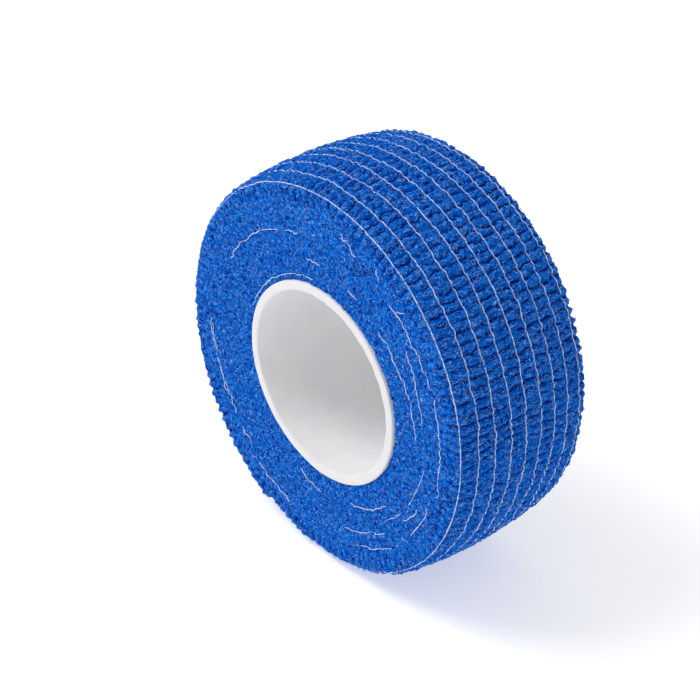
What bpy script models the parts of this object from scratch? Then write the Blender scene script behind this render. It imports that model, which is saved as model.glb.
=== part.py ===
"""Cohesive bandage roll: a crepe elastic bandage wound on a short paper tube.

Two solids, in metres, +Z up. The roll stands on a small flat spot of its rim with its axis
along Y, and the face that shows the cut edges best looks along -Y. The origin is the bottom
centre of the roll's box.
"""
import math

import bmesh
import bpy
import numpy as np

# Driving dimensions, in metres
WIDTH = 0.025           # width of the bandage, and so the roll's length along Y
CORE_INNER_R = 0.0147   # bore of the paper tube
CORE_WALL = 0.0015      # thickness of the paper tube
CORE_CHAMFER = 0.00025  # the tube's cut ends are slightly worn
GAP = 0.0003            # between the tube and the first lap
ROLL_R = 0.0315         # mean radius of the wound bandage, at its rims
LAP = 0.0011            # thickness of one puckered lap, which is the step at the loose end
LOOSE_END_DEG = -115.0  # where the loose end is stuck down, from +X towards +Z
STEP_LENGTH = 0.0009    # length of rim over which that step rises
CROWN = 0.0009          # how far the middle of the width stands proud of the rims
RIM_ROUND = 0.0016      # radius of the rounded rims
FLAT_SAG = 0.00045      # depth of the flat spot that the roll stands on

# Sideways and oval lean of the winding: turns per round, cosine and sine parts in metres
OUT_OF_ROUND = (
    (1, -0.0003, -0.0002),
    (2, -0.0006, 0.0004),
)

# Cut edges of the laps on the two faces. Each row is one crest or hollow: its radius, then
# how deep it lies behind the tube's front end and behind its back end, all in metres.
FACE_LAPS = (
    (0.0173, 0.00030, 0.00050),
    (0.0187, 0.00065, 0.00030),
    (0.0202, 0.00025, 0.00060),
    (0.0214, 0.00060, 0.00035),
    (0.0227, 0.00020, 0.00055),
    (0.0238, 0.00045, 0.00025),
    (0.0251, 0.00015, 0.00050),
    (0.0264, 0.00035, 0.00015),
    (0.0277, 0.00010, 0.00035),
    (0.0289, 0.00020, 0.00005),
)

COLUMNS_ROLL = 108
COLUMNS_CORE = 96
CROWN_STEPS = 8
ROUND_STEPS = 3

BANDAGE_BLUE = (0.0075, 0.089, 0.44, 1.0)
PAPER_WHITE = (0.83, 0.82, 0.77, 1.0)


def clear_scene():
    for obj in list(bpy.data.objects):
        bpy.data.objects.remove(obj, do_unlink=True)


def principled(name, colour, roughness):
    material = bpy.data.materials.new(name)
    material.use_nodes = True
    shader = material.node_tree.nodes["Principled BSDF"]
    shader.inputs["Base Color"].default_value = colour
    shader.inputs["Roughness"].default_value = roughness
    shader.inputs["Metallic"].default_value = 0.0
    material.diffuse_color = colour
    return material


def round_columns(count):
    """Angles of evenly spaced columns round the axis."""
    return np.arange(count) * 2.0 * math.pi / count


def lap_columns(count):
    """Angles that start just past the loose end's step and stop just before it."""
    end = math.radians(LOOSE_END_DEG)
    step = STEP_LENGTH / ROLL_R
    return np.linspace(end + step, end + 2.0 * math.pi, count)


def winding_radius(angles):
    """How far the outer lap stands out of a true circle: its lean, its oval and one lap's climb."""
    out = np.zeros_like(angles)
    for turns, cosine, sine in OUT_OF_ROUND:
        out += cosine * np.cos(turns * angles) + sine * np.sin(turns * angles)
    climbed = (angles - angles[0]) / (angles[-1] - angles[0])
    return out + LAP * (climbed - 0.5)


def rim_arc(side):
    """Quarter circle from a face round to the outside: (radius, y) pairs, side -1 or +1."""
    centre_r = ROLL_R - RIM_ROUND
    centre_y = side * (WIDTH / 2.0 - RIM_ROUND)
    turns = [0.5 * math.pi * k / ROUND_STEPS for k in range(ROUND_STEPS + 1)]
    return [(centre_r + RIM_ROUND * math.sin(t), centre_y + side * RIM_ROUND * math.cos(t)) for t in turns]


def crown_points():
    """The outside between the rims, bowed out by a parabola."""
    half = WIDTH / 2.0 - RIM_ROUND
    shares = [2.0 * k / CROWN_STEPS - 1.0 for k in range(1, CROWN_STEPS)]
    return [(ROLL_R + CROWN * (1.0 - s * s), half * s) for s in shares]


def roll_section():
    """Closed outline of the wound bandage in (radius, y): bore, front face, outside, back face."""
    bore = CORE_INNER_R + CORE_WALL + GAP
    first, last = FACE_LAPS[0], FACE_LAPS[-1]
    front = [(bore, first[1] - WIDTH / 2.0)] + [(r, near - WIDTH / 2.0) for r, near, far in FACE_LAPS]
    back = [(r, WIDTH / 2.0 - far) for r, near, far in reversed(FACE_LAPS)] + [(bore, WIDTH / 2.0 - first[2])]
    return front + rim_arc(-1) + crown_points() + list(reversed(rim_arc(1))) + back


def core_section():
    """Closed outline of the paper tube in (radius, y), with chamfered ends."""
    inner, outer = CORE_INNER_R, CORE_INNER_R + CORE_WALL
    half, cut = WIDTH / 2.0, CORE_CHAMFER
    front = [(inner, cut - half), (inner + cut, -half), (outer - cut, -half), (outer, cut - half)]
    return front + [(r, -y) for r, y in reversed(front)]


def swept_ring(name, points, material):
    """Closed ring from points[column][row], with the last column joined to the first."""
    columns, rows = points.shape[:2]
    mesh = bmesh.new()
    grid = [[mesh.verts.new(p) for p in column] for column in points]
    for i in range(columns):
        here, there = grid[i], grid[(i + 1) % columns]
        for j in range(rows):
            k = (j + 1) % rows
            mesh.faces.new((here[j], there[j], there[k], here[k]))
    bmesh.ops.recalc_face_normals(mesh, faces=mesh.faces)
    data = bpy.data.meshes.new(name)
    mesh.to_mesh(data)
    mesh.free()
    data.materials.append(material)
    data.shade_smooth()
    data.set_sharp_from_angle(angle=math.radians(40.0))
    obj = bpy.data.objects.new(name, data)
    bpy.context.scene.collection.objects.link(obj)
    return obj


def around_axis(radii, angles, ys):
    """Points round the Y axis from arrays of radius, angle and y."""
    return np.stack([radii * np.cos(angles), ys, radii * np.sin(angles)], axis=-1)


def bandage_points():
    """Section carried round the axis; what the outer lap leans, inner laps lean less."""
    section = np.array(roll_section())
    angles = lap_columns(COLUMNS_ROLL)
    bore = section[:, 0].min()
    share = (section[:, 0] - bore) / (ROLL_R - bore)
    radii = section[None, :, 0] + winding_radius(angles)[:, None] * share[None, :]
    points = around_axis(radii, angles[:, None] + 0.0 * radii, section[None, :, 1] + 0.0 * radii)
    floor = points[:, :, 2].min() + FLAT_SAG
    points[:, :, 2] = np.maximum(points[:, :, 2], floor)
    return points, floor


def core_points():
    section = np.array(core_section())
    angles = round_columns(COLUMNS_CORE)
    radii = section[None, :, 0] + 0.0 * angles[:, None]
    return around_axis(radii, angles[:, None] + 0.0 * radii, section[None, :, 1] + 0.0 * radii)


def build():
    clear_scene()
    fabric = principled("bandage_fabric", BANDAGE_BLUE, 0.9)
    paper = principled("core_paper", PAPER_WHITE, 0.75)
    wound, floor = bandage_points()
    middle_x = (wound[:, :, 0].min() + wound[:, :, 0].max()) / 2.0
    axis_place = (-middle_x, 0.0, -floor)
    roll = swept_ring("bandage_roll", wound, fabric)
    core = swept_ring("core_tube", core_points(), paper)
    for obj in (roll, core):
        obj.location = axis_place
    bpy.context.view_layer.update()


build()
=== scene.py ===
# %% [markdown]
# # A cohesive bandage roll
# A strip of blue crepe bandage, 25 mm wide, is wound thirteen laps deep on a short paper tube.
# Nine white elastic threads run along the strip. They were stretched when the fabric was bonded
# to them, so the fabric between them gathers into puckers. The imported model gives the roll's
# place and size. This lesson builds its surfaces in numpy and finishes them with node materials.

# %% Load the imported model
import math

import bpy
import numpy as np
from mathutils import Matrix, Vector


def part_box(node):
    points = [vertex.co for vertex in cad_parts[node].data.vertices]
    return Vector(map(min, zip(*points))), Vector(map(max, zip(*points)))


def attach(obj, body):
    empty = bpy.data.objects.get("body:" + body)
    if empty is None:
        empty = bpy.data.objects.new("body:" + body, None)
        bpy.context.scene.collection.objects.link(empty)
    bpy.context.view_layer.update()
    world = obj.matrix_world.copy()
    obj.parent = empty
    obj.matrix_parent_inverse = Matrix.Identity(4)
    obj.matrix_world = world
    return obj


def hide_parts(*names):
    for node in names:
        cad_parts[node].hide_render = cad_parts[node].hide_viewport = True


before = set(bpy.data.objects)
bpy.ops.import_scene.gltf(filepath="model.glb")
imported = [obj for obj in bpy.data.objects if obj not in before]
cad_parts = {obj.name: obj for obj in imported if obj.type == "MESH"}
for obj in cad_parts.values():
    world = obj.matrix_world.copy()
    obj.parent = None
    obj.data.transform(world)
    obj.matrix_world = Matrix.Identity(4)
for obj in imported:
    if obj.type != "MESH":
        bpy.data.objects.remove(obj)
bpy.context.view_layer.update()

MM = 0.001
tube_low, tube_high = (np.array(corner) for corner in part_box("core_tube"))
roll_low, roll_high = (np.array(corner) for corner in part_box("bandage_roll"))
AXIS = (tube_low + tube_high) / 2.0
WIDTH = tube_high[1] - tube_low[1]
TUBE_R = (tube_high[0] - tube_low[0]) / 2.0
print("roll axis at", AXIS.round(5), "width", round(WIDTH, 4), "tube radius", round(TUBE_R, 5))

# %% [markdown]
# ## Random numbers that run smoothly
# Cloth is never even, so almost every shape below adds some noise. A table holds one random
# number for each corner of a grid, and a place between the corners gets a smooth blend of them.
# The grid closes round the roll, so no seam shows where the first column meets the last.

# %% Smooth noise on a grid
ROWS_IN_TABLE = 211


def noise(u, v, step_u, step_v, seed, around):
    """Heights from -1 to 1 at the places u, v.

    The corners of a grid of step_u by step_v hold random numbers. With s and t the shares of the
    way across a cell, the corners are weighted by 3s^2 - 2s^3 and 3t^2 - 2t^3. u comes back to
    its start after the length `around`.
    """
    columns = max(4, round(around / step_u))
    table = np.random.default_rng(seed).uniform(-1.0, 1.0, (columns, ROWS_IN_TABLE))
    a, b = u * columns / around, v / step_v
    i, j = np.floor(a).astype(int), np.floor(b).astype(int)
    s, t = a - i, b - j
    s, t = s * s * (3.0 - 2.0 * s), t * t * (3.0 - 2.0 * t)
    i, i_next, j, j_next = i % columns, (i + 1) % columns, j % ROWS_IN_TABLE, (j + 1) % ROWS_IN_TABLE
    near = table[i, j] * (1.0 - s) + table[i_next, j] * s
    far = table[i, j_next] * (1.0 - s) + table[i_next, j_next] * s
    return near * (1.0 - t) + far * t


def smooth_step(low, high, x):
    """0 below low, 1 above high, and 3t^2 - 2t^3 in between."""
    t = np.clip((x - low) / (high - low), 0.0, 1.0)
    return t * t * (3.0 - 2.0 * t)


# %% [markdown]
# ## The wound form
# A section through the roll is a path: out over the front face, round the front rim, across the
# crowned outside, round the back rim and in over the back face. Every place on the cloth then has
# two coordinates: an angle round the roll, and the distance `s` along that path. The outer lap
# isn't a true circle: it leans, it is a little oval, and it climbs by one lap in each turn until
# it drops at the loose end.

# %% Sizes of the wound form
ROLL_R = 31.5 * MM        # mean radius of the rims
LAP = 1.1 * MM            # thickness of one puckered lap
CROWN = 0.9 * MM          # how far the middle stands proud of the rims
RIM_ROUND = 1.6 * MM
BORE_R = TUBE_R + 0.1 * MM
LOOSE_END = math.radians(-115.0)
STEP_LENGTH = 0.5 * MM
OUT_OF_ROUND = (          # turns per round, cosine part, sine part
    (1, -0.3 * MM, -0.2 * MM),
    (2, -0.6 * MM, 0.4 * MM),
)
AROUND = 2.0 * math.pi * ROLL_R
FACE_LENGTH = ROLL_R - RIM_ROUND - BORE_R
ARC_LENGTH = 0.5 * math.pi * RIM_ROUND
HALF_FLAT = WIDTH / 2.0 - RIM_ROUND
PATH_LENGTH = 2.0 * (FACE_LENGTH + ARC_LENGTH + HALF_FLAT)


def section(s):
    """Radius, y, and the outward normal's two parts at the distance s along the path.

    The face is a straight line, the rim a quarter circle, and the outside a parabola that stands
    CROWN proud in the middle. The second half of the path mirrors the first.
    """
    side = np.where(s > PATH_LENGTH / 2.0, 1.0, -1.0)
    q = np.minimum(s, PATH_LENGTH - s)
    turn = np.clip((q - FACE_LENGTH) / RIM_ROUND, 0.0, 0.5 * math.pi)
    over = np.maximum(q - FACE_LENGTH - ARC_LENGTH, 0.0)
    x = 1.0 - over / HALF_FLAT
    radius = BORE_R + np.minimum(q, FACE_LENGTH) + RIM_ROUND * np.sin(turn)
    radius = radius + np.where(over > 0.0, CROWN * (1.0 - x * x), 0.0)
    inward = RIM_ROUND * (1.0 - np.cos(turn)) + over
    slope = np.where(over > 0.0, 2.0 * CROWN * x / HALF_FLAT, 0.0)
    out, along = np.sin(turn), np.cos(turn) + slope
    length = np.hypot(out, along)
    return radius, side * (WIDTH / 2.0 - inward), out / length, side * along / length


def winding(angle, wobble=0.0):
    """How far the outer lap stands off a true circle: lean, oval, climb and the loose end's step."""
    off = 0.0 * angle
    for turns, cosine, sine in OUT_OF_ROUND:
        off = off + cosine * np.cos(turns * angle) + sine * np.sin(turns * angle)
    past_end = np.mod(angle - LOOSE_END - wobble, 2.0 * math.pi)
    drop = smooth_step(0.0, STEP_LENGTH / ROLL_R, past_end)
    return off + LAP * (past_end / (2.0 * math.pi) - 0.5 + (1.0 - drop))


# %% [markdown]
# ## Puckers on the outside
# Between two threads the fabric is too long, so it folds into soft ridges across the strip, about
# 1.5 mm apart, with narrow dark creases between them. Along the strip the height is the size of a
# sine, raised to a power below one, which gives round tops and sharp creases. Noise bends the
# ridges, shifts them from band to band and lets some creases close. Each thread pulls the fabric
# down, except where a ridge has slipped over it.

# %% Height of the crepe
THREADS = 9
FIRST_THREAD = 0.37 * MM      # from the front face
THREAD_PITCH = 2.864 * MM
PUCKER = 1.5 * MM
RIDGE = 0.80 * MM             # height of a ridge over its crease
PINCH = 0.16 * MM             # how far a thread pulls the fabric down


def bridge(along, lane):
    """1 where a ridge has slipped over a thread and hides it, 0 elsewhere."""
    return smooth_step(0.70, 0.88, noise(along, lane * 7.0 + 0.5, 0.8 * MM, 1.0, 31, AROUND))


def crepe(along, y):
    """Height of the puckered fabric, from about -RIDGE in a crease to 0 on a ridge."""
    lane = (y + WIDTH / 2.0 - FIRST_THREAD) / THREAD_PITCH
    nearest = np.clip(np.round(lane), 0, THREADS - 1)
    band = np.floor(lane)
    middle = smooth_step(0.0, 0.25, np.abs(lane - nearest))
    shift = 0.30 * noise(along, band + 0.5, 7.0 * MM, 1.0, 11, AROUND) * middle
    shift = shift + 0.45 * noise(along, y, 9.0 * MM, 7.0 * MM, 12, AROUND)
    shift = shift + 0.20 * noise(along, y, 1.6 * MM, 0.7 * MM, 13, AROUND)
    count = round(AROUND / PUCKER)
    wave = np.abs(np.sin(math.pi * (along * count / AROUND + shift))) ** 0.7
    depth = 0.72 + 0.42 * noise(along, y, 1.1 * MM, 1.3 * MM, 14, AROUND)
    depth = depth * (0.55 + 0.45 * middle)
    lumps = 0.15 * noise(along, y, 0.75 * MM, 0.95 * MM, 15, AROUND)
    lumps = lumps + 0.09 * noise(along, y, 0.36 * MM, 0.50 * MM, 16, AROUND)
    pull = np.exp(-(((lane - nearest) * THREAD_PITCH / (0.30 * MM)) ** 2))
    pull = pull * (1.0 - bridge(along, nearest))
    return RIDGE * (wave - 1.0) * depth + lumps * MM - PINCH * pull


# %% [markdown]
# ## Cut edges on the faces
# Each face shows the cut edge of every lap. Fibres have sprung out of them, so a face looks like
# felt, with faint rings. A place on the face is read as a place along the strip: the lap's number,
# and how far round it is. That makes the rings one long spiral, as they are on the real roll.

# %% Height of the faces
LAP_RELIEF = 0.13 * MM
DISH = 0.45 * MM              # how far the laps sink towards the tube


def felt(angle, radius, side):
    """Height of a face: a dish, laps that stand proud or sink, wavy cut edges, and fine tufts."""
    seed = 50 if side < 0 else 80
    past_end = np.mod(angle - LOOSE_END, 2.0 * math.pi)
    turn = (radius - BORE_R) / LAP - past_end / (2.0 * math.pi)
    strip = (np.floor(turn) + past_end / (2.0 * math.pi)) * AROUND
    along = angle * ROLL_R
    lane = 0.0 * strip + 0.5
    jitter = noise(strip, lane, 4.0 * MM, 1.0, seed, 97.0 * AROUND)
    ripple = 0.22 * np.sin(2.0 * math.pi * strip / PUCKER + 3.0 * jitter)
    share = turn + ripple - np.floor(turn + ripple)
    edge = 1.0 - np.abs(2.0 * share - 1.0)
    proud = noise(strip, lane, 18.0 * MM, 1.0, seed + 1, 97.0 * AROUND)
    inward = 1.0 - (radius - BORE_R) / FACE_LENGTH
    tufts = 0.16 * noise(along, radius, 0.62 * MM, 0.42 * MM, seed + 2, AROUND)
    tufts = tufts + 0.10 * noise(along, radius, 0.34 * MM, 0.26 * MM, seed + 3, AROUND)
    rings = LAP_RELIEF * (0.9 * edge + 0.9 * proud * smooth_step(0.0, 0.4, edge))
    return rings - DISH * np.clip(inward, 0.0, 1.0) ** 1.5 + tufts * MM - 0.05 * MM


# %% [markdown]
# ## One function for every place on the cloth
# The felt of the faces turns into the crepe of the outside over the rims. The selvage, the strip's
# plain edge outside the first thread, is smoother than both. The function below mixes the three
# heights and gives the point in space, so that the surfaces, the threads and the fibres all agree.

# %% Places on the cloth
FLOOR_GAP = 0.09 * MM


def cloth_height(angle, s):
    """Height over the smooth form: crepe on the outside, felt on the faces, and a plain selvage."""
    radius, y, out, sideways = section(s)
    along = np.mod(angle - LOOSE_END, 2.0 * math.pi) * ROLL_R
    from_face = np.minimum(s, PATH_LENGTH - s) - FACE_LENGTH
    on_outside = smooth_step(0.35 * MM, 1.5 * MM, from_face)
    on_face = 1.0 - smooth_step(-2.2 * MM, -0.6 * MM, from_face)
    teeth = 0.20 * np.sin(2.0 * math.pi * along * round(AROUND / PUCKER) / AROUND)
    teeth = teeth + 0.22 * noise(along, s, 0.9 * MM, 1.4 * MM, 22, AROUND)
    teeth = teeth + 0.12 * noise(along, s, 0.45 * MM, 0.45 * MM, 21, AROUND)
    selvage = 0.15 * crepe(along, y) + MM * (teeth - 0.1)
    height = selvage + on_outside * (crepe(along, y) - selvage)
    face = np.where(s < PATH_LENGTH / 2.0, felt(angle, radius, -1), felt(angle, radius, 1))
    return height + on_face * (face - height)


def place(angle, s, height):
    """Point in space at an angle, a path distance and a height along the outward normal."""
    radius, y, out, sideways = section(s)
    share = (radius - BORE_R) / (ROLL_R - BORE_R)
    wobble = 0.012 * noise(y * 1.0, 0.0 * y + 0.5, 3.0 * MM, 1.0, 23, 60.0 * MM)
    r = radius + share * winding(angle, wobble) + height * out
    x, z = AXIS[0] + r * np.cos(angle), AXIS[2] + r * np.sin(angle)
    points = np.stack([x, y + height * sideways, z], -1)
    points[..., 2] = np.maximum(points[..., 2], FLOOR_GAP)
    return points


# %% [markdown]
# ## Sheets from grids
# A grid of points becomes a mesh: each point joins its neighbours in a four-sided face. Here the
# grid closes on itself both ways, because every piece is a closed ring: its shown side, and a plain
# hidden side a few millimetres down. A second map keeps the distances round and across the
# strip in millimetres, so that a material can draw fibres that lie across it.

# %% Mesh helpers
def link(name, mesh, material):
    piece = bpy.data.objects.new(name, mesh)
    bpy.context.scene.collection.objects.link(piece)
    mesh.materials.append(material)
    mesh.polygons.foreach_set("use_smooth", np.ones(len(mesh.polygons), bool))
    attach(piece, "root")
    return piece


def grid_faces(columns, rows):
    """Corner numbers of the faces of a grid that closes both ways.

    Columns go round from +X towards +Z, and rows go from the front out and over to the back. Taken
    along the rows first, the corners turn the way that makes each face look outwards.
    """
    i, j = np.meshgrid(np.arange(columns), np.arange(rows), indexing="ij")
    i_next, j_next = (i + 1) % columns, (j + 1) % rows
    corners = [i * rows + j, i * rows + j_next, i_next * rows + j_next, i_next * rows + j]
    return np.stack(corners, -1).reshape(-1, 4)


def mesh_from(name, points, faces):
    """Mesh from arrays of points and of four-sided faces."""
    mesh = bpy.data.meshes.new(name)
    mesh.vertices.add(len(points))
    mesh.vertices.foreach_set("co", points.astype(np.float32).ravel())
    mesh.loops.add(faces.size)
    mesh.loops.foreach_set("vertex_index", faces.astype(np.int32).ravel())
    mesh.polygons.add(len(faces))
    mesh.polygons.foreach_set("loop_start", np.arange(0, faces.size, 4, dtype=np.int32))
    mesh.update(calc_edges=True)
    return mesh


def map_in_millimetres(mesh, columns, rows, round_mm, across_mm):
    """UV map whose two numbers are millimetres round the roll and millimetres across it."""
    i, j = np.meshgrid(np.arange(columns), np.arange(rows), indexing="ij")
    u = np.stack([round_mm[i], round_mm[i], round_mm[i + 1], round_mm[i + 1]], -1)
    v = np.stack([across_mm[j], across_mm[j + 1], across_mm[j + 1], across_mm[j]], -1)
    layer = mesh.uv_layers.new(name="cloth_mm")
    layer.uv.foreach_set("vector", np.stack([u, v], -1).astype(np.float32).ravel())


HIDDEN_DEPTH = 1.8 * MM


def patch_mean(height, reach_round, reach_across):
    """Mean over a patch of neighbours: columns wrap round, and rows stop at the ends."""
    total = sum(np.roll(height, k, axis=0) for k in range(-reach_round, reach_round + 1))
    padded = np.pad(total, ((0, 0), (reach_across, reach_across)), mode="edge")
    rows = height.shape[1]
    total = sum(padded[:, k : k + rows] for k in range(2 * reach_across + 1))
    return total / ((2 * reach_round + 1) * (2 * reach_across + 1))


def cloth_ring(name, s_shown, columns, material):
    """Closed ring of cloth: its shown rows at s_shown, then a hidden row under each end.

    The attribute `hollow` keeps how deep each point lies under its neighbours, in millimetres: the
    mean height of a patch about 0.8 mm across, less the height of the point. The cloth material
    paints shade into creases and light onto ridge tops by it.
    """
    angles = LOOSE_END + np.linspace(0.0, 2.0 * math.pi, columns, endpoint=False)
    a, s = np.meshgrid(angles, s_shown, indexing="ij")
    height = cloth_height(a, s)
    shown = place(a, s, height)
    a_end, s_end = np.meshgrid(angles, s_shown[[-1, 0]], indexing="ij")
    hidden = place(a_end, s_end, -HIDDEN_DEPTH + 0.0 * a_end)
    points = np.concatenate([shown, hidden], axis=1)
    rows = points.shape[1]
    mesh = mesh_from(name, points.reshape(-1, 3), grid_faces(columns, rows))
    hollow = np.zeros((columns, rows))
    hollow[:, :-2] = (patch_mean(height, 3, 2) - height) / MM
    attribute = mesh.attributes.new("hollow", "FLOAT", "POINT")
    attribute.data.foreach_set("value", hollow.astype(np.float32).ravel())
    round_mm = np.linspace(0.0, AROUND / MM, columns + 1)
    across_mm = np.concatenate([s_shown, s_shown[[-1, 0]], s_shown[[0]]]) / MM
    map_in_millimetres(mesh, columns, rows, round_mm, across_mm)
    piece = link(name, mesh, material)
    print(name, columns * rows * 2, "triangles")
    return piece


# %% [markdown]
# ## Shader maths
# A material's patterns are sums of textures. The class below wraps the socket that a number or a
# colour comes out of, so that a sum can be written as Python: `1 - mask` adds one Math node. Every
# other node comes from its one method.

# %% A socket that can be added up
class Value:
    """A number, colour or vector in a material, known by the socket it comes out of."""

    def __init__(self, tree, socket):
        self.tree = tree
        self.socket = socket

    @classmethod
    def node(cls, tree, kind, settings=None, sockets=None, out=0):
        """Add a node: first its settings, then the values or links of its sockets."""
        made = tree.nodes.new(kind)
        for name, setting in (settings or {}).items():
            setattr(made, name, setting)
        for name, value in (sockets or {}).items():
            if isinstance(value, Value):
                tree.links.new(value.socket, made.inputs[name])
            else:
                made.inputs[name].default_value = value
        return cls(tree, made.outputs[out])

    @classmethod
    def own_space(cls, tree):
        """Object coordinates, in metres."""
        return cls.node(tree, "ShaderNodeTexCoord", out=3)

    def maths(self, operation, first, second):
        return self.node(self.tree, "ShaderNodeMath", {"operation": operation}, {0: first, 1: second})

    def __add__(self, other):
        return self.maths("ADD", self, other)

    def __radd__(self, other):
        return self.maths("ADD", other, self)

    def __sub__(self, other):
        return self.maths("SUBTRACT", self, other)

    def __rsub__(self, other):
        return self.maths("SUBTRACT", other, self)

    def __mul__(self, other):
        return self.maths("MULTIPLY", self, other)

    def __rmul__(self, other):
        return self.maths("MULTIPLY", other, self)

    def between(self, low, high):
        """0 below low, 1 above high, smooth between."""
        settings = {"interpolation_type": "SMOOTHSTEP"}
        sockets = {"Value": self, "From Min": low, "From Max": high}
        return self.node(self.tree, "ShaderNodeMapRange", settings, sockets)

    def stretched(self, x, y, z):
        """This vector with its three parts multiplied by x, y and z."""
        settings = {"operation": "MULTIPLY"}
        return self.node(self.tree, "ShaderNodeVectorMath", settings, {0: self, 1: (x, y, z)})

    def noise(self, scale, detail=2.0, roughness=0.5, distortion=0.0):
        sockets = {"Vector": self, "Scale": scale, "Detail": detail}
        sockets.update({"Roughness": roughness, "Distortion": distortion})
        return self.node(self.tree, "ShaderNodeTexNoise", {}, sockets)

    @classmethod
    def mixed(cls, tree, mask, first, second):
        """The first colour where mask is 0, and the second where it is 1."""
        settings = {"data_type": "RGBA", "blend_type": "MIX"}
        return cls.node(tree, "ShaderNodeMix", settings, {0: mask, 6: first, 7: second}, out=2)

    def tint(self, colour, mask):
        """This colour, with another laid over it by mask."""
        return self.mixed(self.tree, mask, self, colour)

    def bump(self, strength, distance):
        """A normal that is tilted as this height would tilt it."""
        sockets = {"Height": self, "Strength": strength, "Distance": distance}
        return self.node(self.tree, "ShaderNodeBump", {}, sockets)


def srgb(red, green, blue):
    """Linear colour from the 0 to 255 numbers of a paint chart."""
    parts = np.array([red, green, blue]) / 255.0
    linear = np.where(parts <= 0.04045, parts / 12.92, ((parts + 0.055) / 1.055) ** 2.4)
    return (*(float(part) for part in linear), 1.0)


def new_material(name, **constants):
    """Material with one Principled shader, whose constant values are set on its own sockets."""
    material = bpy.data.materials.new(name)
    material.use_nodes = True
    shader = material.node_tree.nodes["Principled BSDF"]
    for socket, value in constants.items():
        shader.inputs[socket.replace("_", " ")].default_value = value
    return material, material.node_tree, shader


def feed(tree, shader, **links):
    for socket, value in links.items():
        tree.links.new(value.socket, shader.inputs[socket.replace("_", " ")])


# %% [markdown]
# ## The cloth's colour
# The fabric is a royal blue fleece of fine fibres. Single fibres catch the light and look pale,
# so pale flecks are painted on as highlights, tufts that stand high get painted light, and the low
# places between the fibres get navy painted shade. On the outside the fibres lie across the strip,
# so that noise is stretched across it. On the faces they point every way.

# %% Cloth materials
NAVY = srgb(0, 24, 120)
ROYAL = srgb(0, 94, 202)
SOFT = srgb(16, 128, 226)
PALE = srgb(136, 186, 240)
RUST = srgb(96, 70, 110)


def cloth_material(name, fibres, flecks, soft_share, fleck_share):
    """Royal blue with navy painted shade in low places, painted light on high tufts, pale flecks
    painted as highlights of fibres that catch the light, and a few rust-coloured specks.

    fibres and flecks are functions from the tree to a vector whose unit is the size of one
    fibre tuft. Deep places, by the attribute `hollow`, get navy painted shade that hides the
    flecks, and ridge tops get more painted light.
    """
    material, tree, shader = new_material(
        name, Roughness=0.9, Specular_IOR_Level=0.0, Sheen_Weight=0.008, Sheen_Roughness=0.5,
        Sheen_Tint=srgb(150, 185, 240),
    )
    hollow = Value.node(tree, "ShaderNodeAttribute", {"attribute_name": "hollow"}, out=2)
    # Painted light on ridge tops, by how far a point stands over its neighbours.
    ridge_light = 1.0 - hollow.between(-0.10, 0.05)
    # Painted shade in creases, by how deep a point lies under its neighbours.
    crease_shade = hollow.between(0.00, 0.22)
    tuft = fibres(tree).noise(1.0, 3.0, 0.6, 0.5)
    light = flecks(tree).noise(1.0, 3.0, 0.6, 1.5)
    # Painted shade: the low places of the fleece's bump turn navy.
    pit_shade = 1.0 - tuft.between(0.36, 0.50)
    colour = Value.mixed(tree, pit_shade * 0.85, ROYAL, NAVY)
    # Painted light: tufts that stand high are lighter, more so on ridge tops.
    colour = colour.tint(SOFT, tuft.between(0.50, 0.66) * (soft_share + ridge_light * 0.35))
    # Painted shade: creases turn navy.
    colour = colour.tint(NAVY, crease_shade * 0.8)
    # Painted highlights: pale flecks where fibres catch the light, hidden in the crease shade.
    colour = colour.tint(PALE, light.between(fleck_share, fleck_share + 0.10) * (0.85 - crease_shade * 0.7))
    rust = flecks(tree).stretched(0.11, 0.3, 0.3).noise(1.0, 1.0).between(0.80, 0.82)
    colour = colour.tint(RUST, rust * 0.4)
    height = tuft + light * 0.5
    feed(tree, shader, Base_Color=colour, Normal=height.bump(0.8, 0.16 * MM))
    return material


def along_strip(per_mm_along, per_mm_across):
    """Vector that follows the strip, so a pattern can lie along or across it."""
    def vector(tree):
        strip = Value.node(tree, "ShaderNodeUVMap", {"uv_map": "cloth_mm"})
        return strip.stretched(per_mm_along, per_mm_across, 1.0)
    return vector


def in_space(per_mm):
    """Vector in the roll's own space, for a pattern that is alike in every direction."""
    def vector(tree):
        per_m = per_mm / MM
        return Value.own_space(tree).stretched(per_m, per_m, per_m)
    return vector


crepe_cloth = cloth_material("crepe_cloth", along_strip(3.0, 1.6), along_strip(4.2, 1.4), 0.25, 0.56)
felt_cloth = cloth_material("felt_cloth", in_space(1.55), in_space(2.8), 0.6, 0.555)

# %% [markdown]
# ## The cloth itself
# Five closed rings make the cloth: the two faces, and the outside in three parts that meet under
# threads, where the fabric is pinched anyway. Rows are closest on the outside, where each pucker
# needs about ten points each way.

# %% Build the five rings
def path_at_y(y):
    """Distance along the path of a place on a rim or on the outside."""
    grid = np.linspace(FACE_LENGTH, PATH_LENGTH - FACE_LENGTH, 4001)
    return np.interp(y, section(grid)[1], grid)


thread_y = -WIDTH / 2.0 + FIRST_THREAD + THREAD_PITCH * np.arange(THREADS)
thread_s = path_at_y(thread_y)


def rows_between(low, high, step):
    return np.linspace(low, high, max(2, round((high - low) / step)) + 1)


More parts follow.
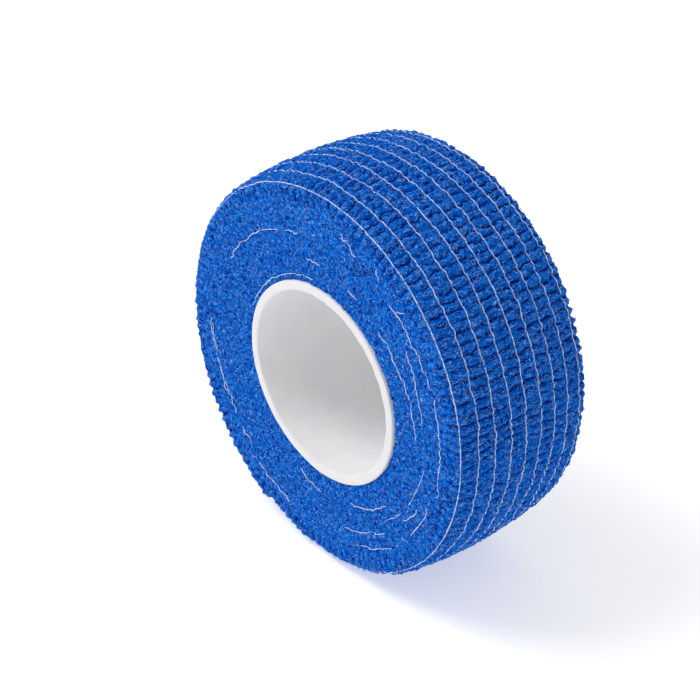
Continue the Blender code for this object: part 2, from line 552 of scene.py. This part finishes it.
FRONT_ROW, FRONT_COLUMNS = 0.195 * MM, 1100
CREPE_ROW, CREPE_COLUMNS = 0.165 * MM, 1260
BACK_ROW, BACK_COLUMNS = 0.30 * MM, 840
front_rows = rows_between(0.0, thread_s[0], FRONT_ROW)
back_rows = rows_between(thread_s[8], PATH_LENGTH, BACK_ROW)
crepe_rows = [rows_between(thread_s[k], thread_s[end], CREPE_ROW) for k, end in ((0, 3), (3, 6), (6, 8))]
face_front = cloth_ring("face_front", front_rows, FRONT_COLUMNS, felt_cloth)
crepe_front = cloth_ring("crepe_front", crepe_rows[0], CREPE_COLUMNS, crepe_cloth)
crepe_middle = cloth_ring("crepe_middle", crepe_rows[1], CREPE_COLUMNS, crepe_cloth)
crepe_back = cloth_ring("crepe_back", crepe_rows[2], CREPE_COLUMNS, crepe_cloth)
face_back = cloth_ring("face_back", back_rows, BACK_COLUMNS, felt_cloth)
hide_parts("bandage_roll")

# %% [markdown]
# ## Elastic threads
# A thread is a tube swept along a path: at each point two directions across the path carry a
# small ring of points. Many tubes are joined in one mesh. The nine threads run one turn each, from
# under the loose end round to it, and ride in the pinched fabric.

# %% Tubes along paths
def tube_parts(path, radius, sides):
    """Points and faces of a tube along one path, narrowed at both ends, and its count of rings.

    At each point of the path the tangent is the difference of its neighbours. The first ring
    direction is the tangent crossed with a fixed, slanting direction, and the second is the
    tangent crossed with the first.
    """
    tangent = np.gradient(path, axis=0)
    tangent /= np.linalg.norm(tangent, axis=1, keepdims=True)
    first = np.cross(tangent, (0.31, 0.83, 0.47))
    first /= np.linalg.norm(first, axis=1, keepdims=True)
    second = np.cross(tangent, first)
    turns = np.arange(sides) * 2.0 * math.pi / sides
    ring = np.cos(turns)[None, :, None] * first[:, None] + np.sin(turns)[None, :, None] * second[:, None]
    radius = np.broadcast_to(radius, len(path)).copy()
    radius[[0, -1]] *= 0.35
    points = path[:, None] + ring * radius[:, None, None]
    i, j = np.meshgrid(np.arange(len(path) - 1), np.arange(sides), indexing="ij")
    j_next = (j + 1) % sides
    here, there = i * sides, (i + 1) * sides
    faces = np.stack([here + j, here + j_next, there + j_next, there + j], -1)
    return points.reshape(-1, 3), faces.reshape(-1, 4), len(path)


def joined_tubes(name, paths, radius, sides, material):
    """One mesh of many tubes of one radius."""
    points, faces, start, caps = [], [], 0, []
    for path in paths:
        tube, quads, count = tube_parts(path, radius, sides)
        points.append(tube)
        faces.append(quads + start)
        caps.append((start, start + (count - 1) * sides))
        start += len(tube)
    mesh = bpy.data.meshes.new(name)
    polygons = np.concatenate(faces).tolist()
    for low, high in caps:
        polygons.append(list(range(low + sides - 1, low - 1, -1)))
        polygons.append(list(range(high, high + sides)))
    mesh.from_pydata(np.concatenate(points).tolist(), [], polygons)
    mesh.update()
    piece = link(name, mesh, material)
    print(name, len(paths), "tubes,", sum(len(p) - 2 for p in polygons), "triangles")


# %% [markdown]
# ## The look of a thread
# Each thread is stretchy yarn covered with white filament. The blue fleece shows through the
# cover, so the thread alternates between two tones of pale lilac.

# %% Thread material
def thread_material(name, pale, shade):
    """Whitish covered elastic: two tones that alternate along the thread."""
    material, tree, shader = new_material(name, Roughness=0.6, Sheen_Weight=0.2, Specular_IOR_Level=0.3)
    tone = Value.own_space(tree).noise(2600.0, 2.0).between(0.40, 0.62)
    colour = Value.mixed(tree, tone, shade, pale)
    feed(tree, shader, Base_Color=colour)
    return material


elastic = thread_material("elastic_thread", srgb(226, 232, 250), srgb(150, 178, 230))

# %% [markdown]
# ## Where the threads run
# A thread runs one turn, from the loose end round to it. It sways a little at each pucker and
# follows most, but not all, of the cloth's rise and fall, because it is under tension.

# %% The nine threads
THREAD_R = 0.085 * MM
THREAD_STEPS = 760
THREAD_SIDES = 5


def moving_mean(values, count):
    """Mean of each value and its neighbours, over count values."""
    padded = np.pad(values, count // 2, mode="edge")
    return np.convolve(padded, np.ones(count) / count, mode="valid")[: len(values)]


def thread_path(number):
    """One turn of a thread: it sways across the strip, and follows a softened height of the cloth."""
    angle = LOOSE_END + np.linspace(0.004, 2.0 * math.pi - 0.002, THREAD_STEPS)
    along = (angle - LOOSE_END) * ROLL_R
    lane = np.full_like(along, number * 1.7 + 0.5)
    sway = 0.13 * noise(along, lane, 1.1 * MM, 1.0, 61, AROUND)
    sway = sway + 0.12 * noise(along, lane, 4.0 * MM, 1.0, 62, AROUND)
    if number == 0:
        sway = sway * 0.35
    s = thread_s[number] + sway * MM
    cloth = cloth_height(angle, s)
    softened = moving_mean(cloth, 9)
    height = softened + 0.75 * (cloth - softened) + THREAD_R * 0.9
    height = height - 0.35 * MM * bridge(along, np.full_like(along, float(number)))
    return place(angle, s, height)


thread_paths = [thread_path(k) for k in range(THREADS)]
joined_tubes("elastic_threads", thread_paths, THREAD_R, THREAD_SIDES, elastic)

# %% [markdown]
# ## Sprung fibres
# Thousands of single fibres stand out of the fleece. Each one here is a thin spindle: a tip, two
# three-cornered rings, and a tip. They lie mostly across the strip on the outside and every way
# on the faces, and each arches a little over the cloth.

# %% Scatter the fibres
SPINDLE = np.array([
    (0, 2, 1), (0, 3, 2), (0, 1, 3), (1, 2, 5), (1, 5, 4), (2, 3, 6), (2, 6, 5), (3, 1, 4), (3, 4, 6),
    (4, 5, 7), (5, 6, 7), (6, 4, 7),
])


def fibre_mesh(name, angle, s, turn, length, lift, thickness, material):
    """One mesh of spindles. Each runs from (angle, s) in the direction turn, 0 along the strip."""
    rng = np.random.default_rng(len(angle) + 7)
    stations = []
    bend = rng.normal(0.0, 0.7, len(angle))
    for share, rise in ((0.0, -0.25), (0.33, 1.0), (0.67, 1.0), (1.0, 0.1)):
        heading = turn + bend * share
        a = angle + share * length * np.cos(heading) / ROLL_R
        at = s + share * length * np.sin(heading)
        height = cloth_height(angle, s) * 0.4 + cloth_height(a, at) * 0.6
        stations.append(place(a, at, height + rise * lift))
    start, low, high, end = stations
    along = end - start
    along /= np.linalg.norm(along, axis=1, keepdims=True) + 1e-12
    first = np.cross(along, (0.31, 0.83, 0.47))
    first /= np.linalg.norm(first, axis=1, keepdims=True)
    second = np.cross(along, first)
    corners = [start]
    for centre in (low, high):
        for k in range(3):
            t = 2.0 * math.pi * k / 3.0
            corners.append(centre + thickness[:, None] * (math.cos(t) * first + math.sin(t) * second))
    corners.append(end)
    points = np.stack(corners, 1)
    points[..., 2] = np.maximum(points[..., 2], FLOOR_GAP)
    faces = SPINDLE[None] + 8 * np.arange(len(angle))[:, None, None]
    mesh = bpy.data.meshes.new(name)
    mesh.vertices.add(points.shape[0] * 8)
    mesh.vertices.foreach_set("co", points.astype(np.float32).ravel())
    mesh.loops.add(faces.size)
    mesh.loops.foreach_set("vertex_index", faces.astype(np.int32).ravel())
    mesh.polygons.add(faces.size // 3)
    mesh.polygons.foreach_set("loop_start", np.arange(0, faces.size, 3, dtype=np.int32))
    mesh.update(calc_edges=True)
    piece = link(name, mesh, material)
    print(name, faces.size // 3, "triangles")


def fibre_material(name, colour):
    return new_material(name, Roughness=0.8, Specular_IOR_Level=0.0, Base_Color=colour)[0]


def scatter(name, count, low, high, spread, colour, seed):
    """Fibres with random places between two path distances, and headings about the crosswise one."""
    rng = np.random.default_rng(seed)
    angle = rng.uniform(0.0, 2.0 * math.pi, count)
    s = rng.uniform(low, high, count)
    turn = rng.choice((-0.5, 0.5), count) * math.pi + rng.normal(0.0, spread, count)
    length = rng.uniform(0.45, 1.15, count) * MM
    lift = rng.uniform(0.04, 0.16, count) * MM
    thickness = rng.uniform(0.024, 0.052, count) * MM
    fibre_mesh(name, angle, s, turn, length, lift, thickness, fibre_material(name, colour))


REACH = 1.2 * MM
OUTSIDE = (FACE_LENGTH - 0.5 * MM, PATH_LENGTH - FACE_LENGTH + 0.5 * MM)
# The pale fibres, here and on the back face, are painted highlights: paler, as single fibres look where
# they catch the light. The blue ones are close to the cloth's own colour.
scatter("fibres_outside_pale", 5200, *OUTSIDE, 0.55, srgb(112, 162, 230), 201)
scatter("fibres_outside_blue", 4200, *OUTSIDE, 0.8, srgb(30, 112, 214), 202)
scatter("fibres_front_pale", 1700, REACH, FACE_LENGTH + REACH, 2.5, srgb(96, 156, 230), 203)
scatter("fibres_front_blue", 2300, REACH, FACE_LENGTH + REACH, 2.5, srgb(30, 112, 214), 204)
back_ends = (PATH_LENGTH - FACE_LENGTH - REACH, PATH_LENGTH - REACH)
scatter("fibres_back_pale", 1500, *back_ends, 2.5, srgb(96, 156, 230), 205)

# %% [markdown]
# ## Stray threads on the front face
# The knife has pulled elastic threads out of the cut laps. Each row below is one thread: its
# radius in millimetres and its angle in degrees, at its start and at its end. It ripples between
# them, and dips into the felt here and there.

# %% Stray threads
STRAY_R = 0.065 * MM
STRAY_SIDES = 4
STRAY_STEP = 0.2 * MM
STRAYS = (                # start radius, start angle, end radius, end angle
    (17, 159, 17, 133), (17, 138, 17, 95), (24, 149, 24, 100), (28, 80, 26.5, 72), (27.5, 76, 27.5, 80),
    (28, 64, 27, 61), (20, 72, 20, 66), (20.5, 97, 20, 90), (26, 54, 26.5, 25), (26.5, 51, 27.5, 49),
    (20, 50, 21, 4), (24, 39, 22.5, 12), (26.5, 23, 26, -6), (23, -6, 22.5, -28), (22.5, -30, 22.5, -55),
    (26, -7, 26.5, -13), (25.5, -20, 26, -37), (24.5, -25, 23.5, -37), (26.5, 182, 26, 218),
    (26, 184, 26.5, 214), (26.5, 223, 26.5, 230), (28, 233, 27, 254), (26.5, -72, 26.5, -51),
    (24, -76, 24, -51), (19, -105, 20, -90), (19.5, -69, 20.5, -43),
)


def stray_path(ends, number):
    """One thread: radius and angle run evenly between its ends, with ripples and dips by noise."""
    r_start, start, r_end, end = ends
    steps = max(10, round(abs(math.radians(end - start)) * r_start * MM / STRAY_STEP))
    share = np.linspace(0.0, 1.0, steps)
    angle = np.radians(start + (end - start) * share)
    along = share * steps * STRAY_STEP
    lane = np.full(steps, number + 0.5)
    r = (r_start + (r_end - r_start) * share) * MM
    r = r + 0.30 * MM * noise(along, lane, 2.1 * MM, 1.0, 300, AROUND)
    r = r + 0.14 * MM * noise(along, lane, 0.9 * MM, 1.0, 301, AROUND)
    lift = 0.07 + 0.20 * noise(along, lane, 1.1 * MM, 1.0, 302, AROUND)
    lean = winding(angle) * (r - BORE_R) / (ROLL_R - BORE_R)
    s = np.clip(r - lean - BORE_R, 0.0, FACE_LENGTH)
    return place(angle, s, cloth_height(angle, s) + lift * MM)


stray = thread_material("stray_thread", srgb(236, 240, 252), srgb(180, 200, 238))
stray_paths = [stray_path(ends, number) for number, ends in enumerate(STRAYS)]
joined_tubes("stray_threads", stray_paths, STRAY_R, STRAY_SIDES, stray)

# %% [markdown]
# ## The paper tube
# The tube is wound from paper strips, so a faint seam spirals through its bore. Its ends were
# cut with a knife: the end is a flat cream ring with a slightly torn inner edge.

# %% Build the tube
TUBE_WALL = 1.5 * MM
TUBE_COLUMNS = 360
SEAM_PITCH = 62.0 * MM        # length along the axis for one turn of the seam


def tube_section(s_steps):
    """Radius and y of the tube's outline, as a closed path of rows."""
    inner, outer, half, cut = TUBE_R - TUBE_WALL, TUBE_R, WIDTH / 2.0, 0.22 * MM
    y_bore = np.linspace(half - cut, cut - half, s_steps)
    turns = np.linspace(0.0, 0.5 * math.pi, 4)
    rows = [(inner, y) for y in y_bore]
    rows += [(inner + cut * (1 - math.cos(t)), cut - half - cut * math.sin(t)) for t in turns[1:]]
    rows += [(r, -half) for r in np.linspace(inner + cut, outer - cut, 6)[1:-1]]
    rows += [(outer - cut * (1 - math.sin(t)), -half + cut * (1 - math.cos(t))) for t in turns]
    rows += [(outer, y) for y in np.linspace(cut - half, half - cut, 5)[1:-1]]
    rows += [(outer - cut * (1 - math.cos(t)), half - cut * (1 - math.sin(t))) for t in turns]
    rows += [(r, half) for r in np.linspace(outer - cut, inner + cut, 6)[1:-1]]
    rows += [(inner + cut * (1 - math.sin(t)), half - cut + cut * math.cos(t)) for t in turns[:-1]]
    return np.array(rows)


def paper_tube(material):
    rows = tube_section(60)
    angle = np.linspace(0.0, 2.0 * math.pi, TUBE_COLUMNS, endpoint=False)[:, None]
    r, y = rows[None, :, 0], rows[None, :, 1]
    around = 2.0 * math.pi * TUBE_R
    along = angle * TUBE_R + 0.0 * r
    end = smooth_step(WIDTH / 2.0 - 0.35 * MM, WIDTH / 2.0, np.abs(y))
    inside = 1.0 - smooth_step(TUBE_R - TUBE_WALL, TUBE_R - TUBE_WALL + 0.5 * MM, r)
    fray = noise(along, 0.0 * along + np.sign(y), 0.9 * MM, 1.0, 71, around)
    fray = fray + 0.6 * noise(along, 0.0 * along + np.sign(y), 0.35 * MM, 1.0, 72, around)
    seam = np.mod(angle - 2.0 * math.pi * y / SEAM_PITCH, 2.0 * math.pi) * TUBE_R
    step = 0.14 * MM * smooth_step(0.0, 0.25 * MM, seam) * (1.0 - smooth_step(0.25 * MM, 9.0 * MM, seam))
    radius = r - inside * step + end * (0.05 * MM * fray) * (0.4 + inside)
    rough = 0.04 * MM * noise(along, r + 0.0 * along, 1.5 * MM, 0.4 * MM, 73, around)
    y_moved = y + 0.0 * angle + end * np.sign(y) * rough
    points = np.stack([AXIS[0] + radius * np.cos(angle), y_moved, AXIS[2] + radius * np.sin(angle)], -1)
    columns, count = points.shape[:2]
    mesh = mesh_from("paper_tube", points.reshape(-1, 3), grid_faces(columns, count))
    piece = link("paper_tube", mesh, material)
    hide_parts("core_tube")
    return piece


def paper_material():
    """Cream white paper with a faint fibre, a little greyer in soft blotches."""
    material, tree, shader = new_material("core_paper", Roughness=0.7, Specular_IOR_Level=0.3)
    here = Value.own_space(tree)
    blotch = here.noise(260.0, 2.0).between(0.35, 0.7)
    fibre = here.noise(3200.0, 3.0, 0.6)
    colour = Value.mixed(tree, blotch * 0.5, srgb(230, 229, 230), srgb(223, 223, 228))
    feed(tree, shader, Base_Color=colour, Normal=fibre.bump(0.25, 0.05 * MM))
    return material


paper = paper_material()
tube = paper_tube(paper)

# %% [markdown]
# ## Stage, light and camera
# The roll stands on a plain white light table in an even, bright room, as in a light tent. One
# large soft lamp from the upper left gives the puckers their shade.

# %% Stage
FLOOR_REACH = 3.0


def stage_floor():
    mesh = bpy.data.meshes.new("floor")
    corners = [(x * FLOOR_REACH, y * FLOOR_REACH, 0.0) for x, y in ((-1, -1), (1, -1), (1, 1), (-1, 1))]
    mesh.from_pydata(corners, [], [(0, 1, 2, 3)])
    floor = bpy.data.objects.new("floor", mesh)
    bpy.context.scene.collection.objects.link(floor)
    material = new_material(
        "floor_white", Roughness=0.9, Base_Color=(0.8, 0.8, 0.8, 1.0),
        Emission_Color=(1.0, 1.0, 1.0, 1.0), Emission_Strength=0.45,
    )[0]
    mesh.materials.append(material)


def soft_lamp(name, place_at, size, power):
    """Square area lamp aimed at the roll."""
    data = bpy.data.lights.new(name, "AREA")
    data.size = size
    data.energy = power
    lamp = bpy.data.objects.new(name, data)
    lamp.location = place_at
    aim = AXIS - np.array(place_at)
    lamp.rotation_euler = direction_to_euler(aim)
    bpy.context.scene.collection.objects.link(lamp)


def direction_to_euler(aim):
    """Rotation that turns -Z towards aim and keeps +Y up."""
    return Vector(aim).to_track_quat("-Z", "Y").to_euler()


def even_room(strength):
    world = bpy.data.worlds.new("room")
    world.use_nodes = True
    background = world.node_tree.nodes["Background"]
    background.inputs["Color"].default_value = (1.0, 1.0, 1.0, 1.0)
    background.inputs["Strength"].default_value = strength
    bpy.context.scene.world = world


stage_floor()
even_room(0.58)
soft_lamp("key", (-0.35, -0.35, 0.75), 0.40, 4.0)

# %% [markdown]
# ## The camera
# It stands in front of the roll, above it and to its right, and looks down at it through a long
# lens, so that both the cut face and the crepe outside show.

# %% Camera
VIEW_AZIMUTH = math.radians(49.56)
VIEW_ELEVATION = math.radians(33.23)
VIEW_DISTANCE = 284.2 * MM
LENS = 97.05
AIM = AXIS + np.array([-3.45, -3.6, 0.55]) * MM


def main_camera():
    data = bpy.data.cameras.new("camera")
    data.lens = LENS
    data.sensor_width = 36.0
    data.clip_start = 0.01
    camera = bpy.data.objects.new("camera", data)
    level = math.cos(VIEW_ELEVATION)
    right, front = math.sin(VIEW_AZIMUTH) * level, -math.cos(VIEW_AZIMUTH) * level
    back = np.array([right, front, math.sin(VIEW_ELEVATION)])
    camera.location = AIM + VIEW_DISTANCE * back
    camera.rotation_euler = direction_to_euler(-back)
    bpy.context.scene.collection.objects.link(camera)
    bpy.context.scene.camera = camera


main_camera()
bpy.context.scene.view_settings.view_transform = "Standard"
